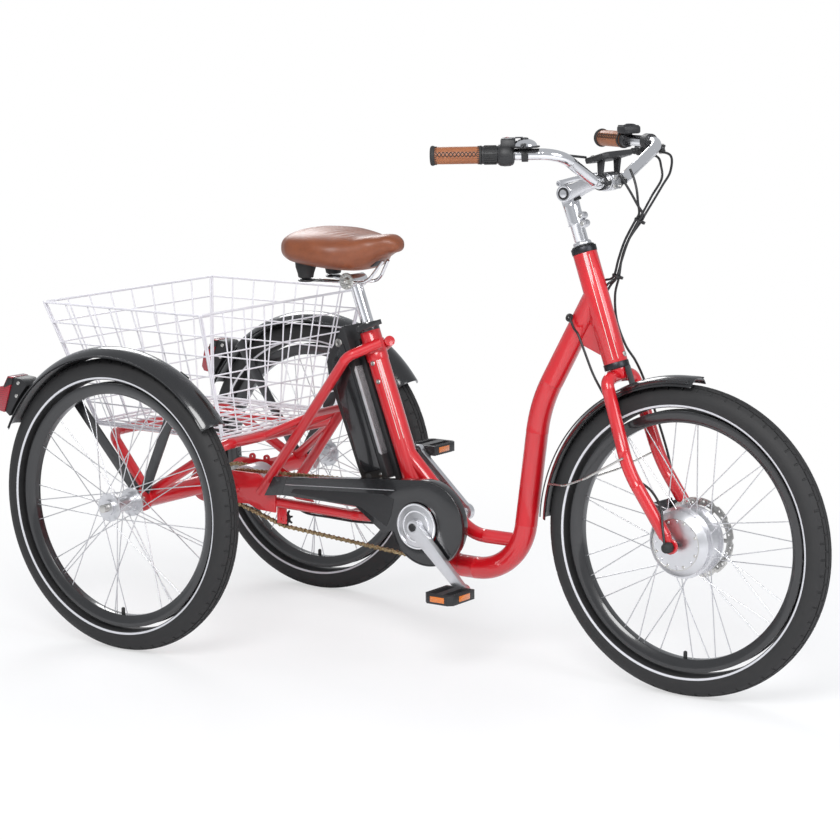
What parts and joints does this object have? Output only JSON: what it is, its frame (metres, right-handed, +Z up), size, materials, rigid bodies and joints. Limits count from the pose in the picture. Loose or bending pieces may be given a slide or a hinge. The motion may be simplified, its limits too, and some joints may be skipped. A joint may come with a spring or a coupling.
{
  "type": "adult tricycle",
  "caption": "Low-step adult tricycle with a motor front wheel, swept handlebar, leather saddle, chain drive, battery, fenders and wire carrier basket.",
  "frame": {"origin": "on the ground, at the middle of the bounding box", "axes": "+X forward, +Y to the rider's left, +Z up"},
  "size_m": [1.797, 0.8, 1.1018],
  "materials": {
    "bare_metal": "brushed",
    "black_paint": "gloss",
    "black_plastic": "satin",
    "brown_leather": "polished",
    "cable_rubber": "satin",
    "chain_steel": "oiled",
    "dark_steel": "satin",
    "gloss_plastic": "gloss",
    "grey_plastic": "satin",
    "grip_leather": "satin",
    "lens": "clear",
    "polished": "polished",
    "red_paint": "gloss",
    "steel": "satin",
    "tyre_rubber": "matt",
    "white_wire": "satin"
  },
  "bodies": {
    "frame": {"down_tube": "red_paint", "seat_tube": "red_paint", "rear_stays": "red_paint", "axle_beam": "red_paint", "headset": "dark_steel", "carrier": "red_paint", "fender_stays": "black_paint", "right_fender": "gloss_plastic", "left_fender": "gloss_plastic", "tail_lamps": "black_plastic", "tail_lenses": "lens", "basket_floor": "white_wire", "basket_sides": "white_wire", "basket_ends": "white_wire", "chain_guard": "gloss_plastic", "battery_rail": "black_plastic", "seat_collar": "black_paint", "chains": "chain_steel", "steer_cables": "cable_rubber", "stay_cable": "cable_rubber"},
    "fork": {"fork": "red_paint", "motor_axle": "dark_steel", "front_fender": "gloss_plastic", "fender_wires": "steel", "brake_caliper": "black_paint", "stem_post": "polished", "fork_cables": "cable_rubber"},
    "front_wheel": {"front_tyre": "tyre_rubber", "front_rim": "black_paint", "motor_hub": "bare_metal", "brake_disc": "steel"},
    "handlebar": {"stem_head": "polished", "handlebar": "polished", "grips": "grip_leather", "bar_controls": "black_plastic", "display": "black_plastic", "bell": "polished", "bar_cables": "cable_rubber"},
    "stem_lever": {"stem_lever": "polished"},
    "shifter_collar": {"shifter_collar": "black_plastic"},
    "brake_lever": {"brake_lever": "black_paint"},
    "bell_lever": {"bell_lever": "black_plastic"},
    "remote_button": {"remote_button": "grey_plastic"},
    "crank": {"crankset": "bare_metal", "chainring": "dark_steel"},
    "right_pedal": {"right_pedal": "black_plastic"},
    "left_pedal": {"left_pedal": "black_plastic"},
    "rear_axle": {"rear_axle": "steel", "right_tyre": "tyre_rubber", "right_rim": "black_paint", "right_hub": "bare_metal"},
    "left_wheel": {"left_tyre": "tyre_rubber", "left_rim": "black_paint", "left_hub": "bare_metal"},
    "gear_hub": {"gear_hub": "bare_metal"},
    "idler": {"idler": "black_plastic"},
    "seat": {"seatpost": "polished", "saddle": "brown_leather"},
    "seat_lever": {"seat_lever": "black_paint"},
    "battery": {"battery": "black_plastic"}
  },
  "joints": [
    {"name": "steering", "type": "hinge", "parent": "frame", "child": "fork", "pos_m": [0.42493, 0, 0.64922], "axis": [-0.3223, 0, 0.9466], "range_deg": [-45, 45], "deforming": ["steer_cables"]},
    {"name": "stem_tilt", "type": "hinge", "parent": "fork", "child": "handlebar", "pos_m": [0.3131, 0, 0.97771], "axis": [0, 1, 0], "range_deg": [-30, 10], "deforming": ["bar_cables"]},
    {"name": "stem_lever_hinge", "type": "hinge", "parent": "handlebar", "child": "stem_lever", "pos_m": [0.29742, 0, 0.9961], "axis": [0, 1, 0], "range_deg": [-100, 0]},
    {"name": "front_wheel_spin", "type": "hinge", "parent": "fork", "child": "front_wheel", "pos_m": [0.589, 0, 0.31], "axis": [0, 1, 0], "continuous": true},
    {"name": "rear_axle_spin", "type": "hinge", "parent": "frame", "child": "rear_axle", "pos_m": [-0.574, 0, 0.31], "axis": [0, 1, 0], "continuous": true, "deforming": ["chains"]},
    {"name": "left_wheel_spin", "type": "hinge", "parent": "frame", "child": "left_wheel", "pos_m": [-0.574, 0, 0.31], "axis": [0, 1, 0], "continuous": true},
    {"name": "crank_spin", "type": "hinge", "parent": "frame", "child": "crank", "pos_m": [0.004, 0, 0.286], "axis": [0, 1, 0], "continuous": true},
    {"name": "right_pedal_spin", "type": "hinge", "parent": "crank", "child": "right_pedal", "pos_m": [0.12629, -0.153, 0.16791], "axis": [0, 1, 0], "continuous": true},
    {"name": "left_pedal_spin", "type": "hinge", "parent": "crank", "child": "left_pedal", "pos_m": [-0.11829, 0.153, 0.40409], "axis": [0, 1, 0], "continuous": true},
    {"name": "gear_hub_spin", "type": "hinge", "parent": "frame", "child": "gear_hub", "pos_m": [-0.48512, 0, 0.308], "axis": [0, 1, 0], "continuous": true},
    {"name": "idler_spin", "type": "hinge", "parent": "frame", "child": "idler", "pos_m": [-0.37, -0.046, 0.254], "axis": [0, 1, 0], "continuous": true},
    {"name": "seat_height", "type": "slide", "parent": "frame", "child": "seat", "axis": [-0.342, 0, 0.9397], "range_m": [-0.04, 0.06]},
    {"name": "seat_lever_hinge", "type": "hinge", "parent": "frame", "child": "seat_lever", "pos_m": [-0.18036, -0.029, 0.67366], "axis": [-0.342, 0, 0.9397], "range_deg": [-110, 0]},
    {"name": "battery_slide", "type": "slide", "parent": "frame", "child": "battery", "axis": [-0.342, 0, 0.9397], "range_m": [0, 0.07]},
    {"name": "twist_shift", "type": "hinge", "parent": "handlebar", "child": "shifter_collar", "pos_m": [0.2041, -0.308, 1.06571], "axis": [-0.8707, -0.4916, -0.0167], "range_deg": [-60, 60]},
    {"name": "brake_pull", "type": "hinge", "parent": "handlebar", "child": "brake_lever", "pos_m": [0.38536, 0.24011, 1.05389], "axis": [-0.0145, 0.0082, 0.9999], "range_deg": [0, 10], "stiffness_Nm_per_rad": 3, "springref_deg": -5.73},
    {"name": "bell_thumb", "type": "hinge", "parent": "handlebar", "child": "bell_lever", "pos_m": [0.36956, -0.24788, 1.08861], "axis": [-0.0145, -0.0082, 0.9999], "range_deg": [-20, 20], "stiffness_Nm_per_rad": 0.05},
    {"name": "remote_press", "type": "slide", "parent": "handlebar", "child": "remote_button", "axis": [0.0145, -0.0082, -0.9999], "range_m": [0, 0.0015], "stiffness_N_per_m": 400, "springref_m": -0.001}
  ],
  "couplings": [
    {"joint": "gear_hub_spin", "follows": "rear_axle_spin", "ratio": 1},
    {"joint": "crank_spin", "follows": "rear_axle_spin", "ratio": 0.5},
    {"joint": "idler_spin", "follows": "rear_axle_spin", "ratio": 2.1111}
  ]
}
